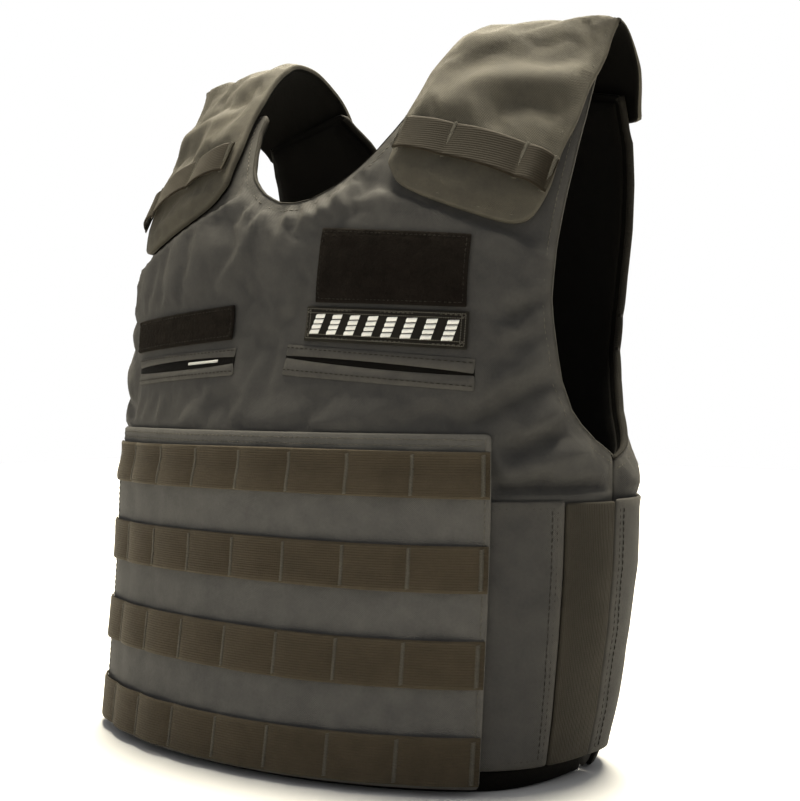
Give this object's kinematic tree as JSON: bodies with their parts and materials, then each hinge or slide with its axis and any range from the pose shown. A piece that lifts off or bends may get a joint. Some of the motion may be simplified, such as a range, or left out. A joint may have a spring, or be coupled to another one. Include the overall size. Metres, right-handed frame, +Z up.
{
  "type": "bulletproof vest",
  "caption": "Soft body-armour vest with padded front and back panels, over-shoulder straps, a webbed front flap, wrap-round side panels and chest patches.",
  "frame": {"origin": "centre of the footprint, on the surface that the hems stand on", "axes": "+Z up, -Y the way the wearer's chest faces, +X towards the wearer's left"},
  "size_m": [0.3816, 0.2395, 0.4368],
  "materials": {
    "canvas": "woven",
    "strap": "woven",
    "webbing": "woven tape",
    "binding": "woven tape",
    "elastic": "ribbed elastic",
    "loop": "looped pile",
    "lining": "plain weave",
    "label": "woven label",
    "zip": "moulded plastic"
  },
  "bodies": {
    "root": {"armhole_binding_back_left": "binding", "armhole_binding_back_right": "binding", "armhole_binding_front_left": "binding", "armhole_binding_front_right": "binding", "back_carrier": "canvas", "back_lining": "lining", "chest_loop_panel": "loop", "chest_loop_strip": "loop", "front_carrier": "canvas", "front_flap": "canvas", "front_lining": "lining", "name_strip": "label", "neck_binding_back": "binding", "neck_binding_front": "binding", "pocket_welt_lower_left": "canvas", "pocket_welt_lower_right": "canvas", "pocket_welt_upper_left": "canvas", "pocket_welt_upper_right": "canvas", "shoulder_strap_left": "strap", "shoulder_strap_right": "strap", "side_elastic_left": "elastic", "side_elastic_right": "elastic", "side_panel_back_left": "canvas", "side_panel_back_right": "canvas", "side_panel_front_left": "canvas", "side_panel_front_right": "canvas", "strap_webbing_left": "webbing", "strap_webbing_right": "webbing", "webbing_row_1": "webbing", "webbing_row_2": "webbing", "webbing_row_3": "webbing", "webbing_row_4": "webbing", "zip_right": "zip"}
  },
  "joints": []
}
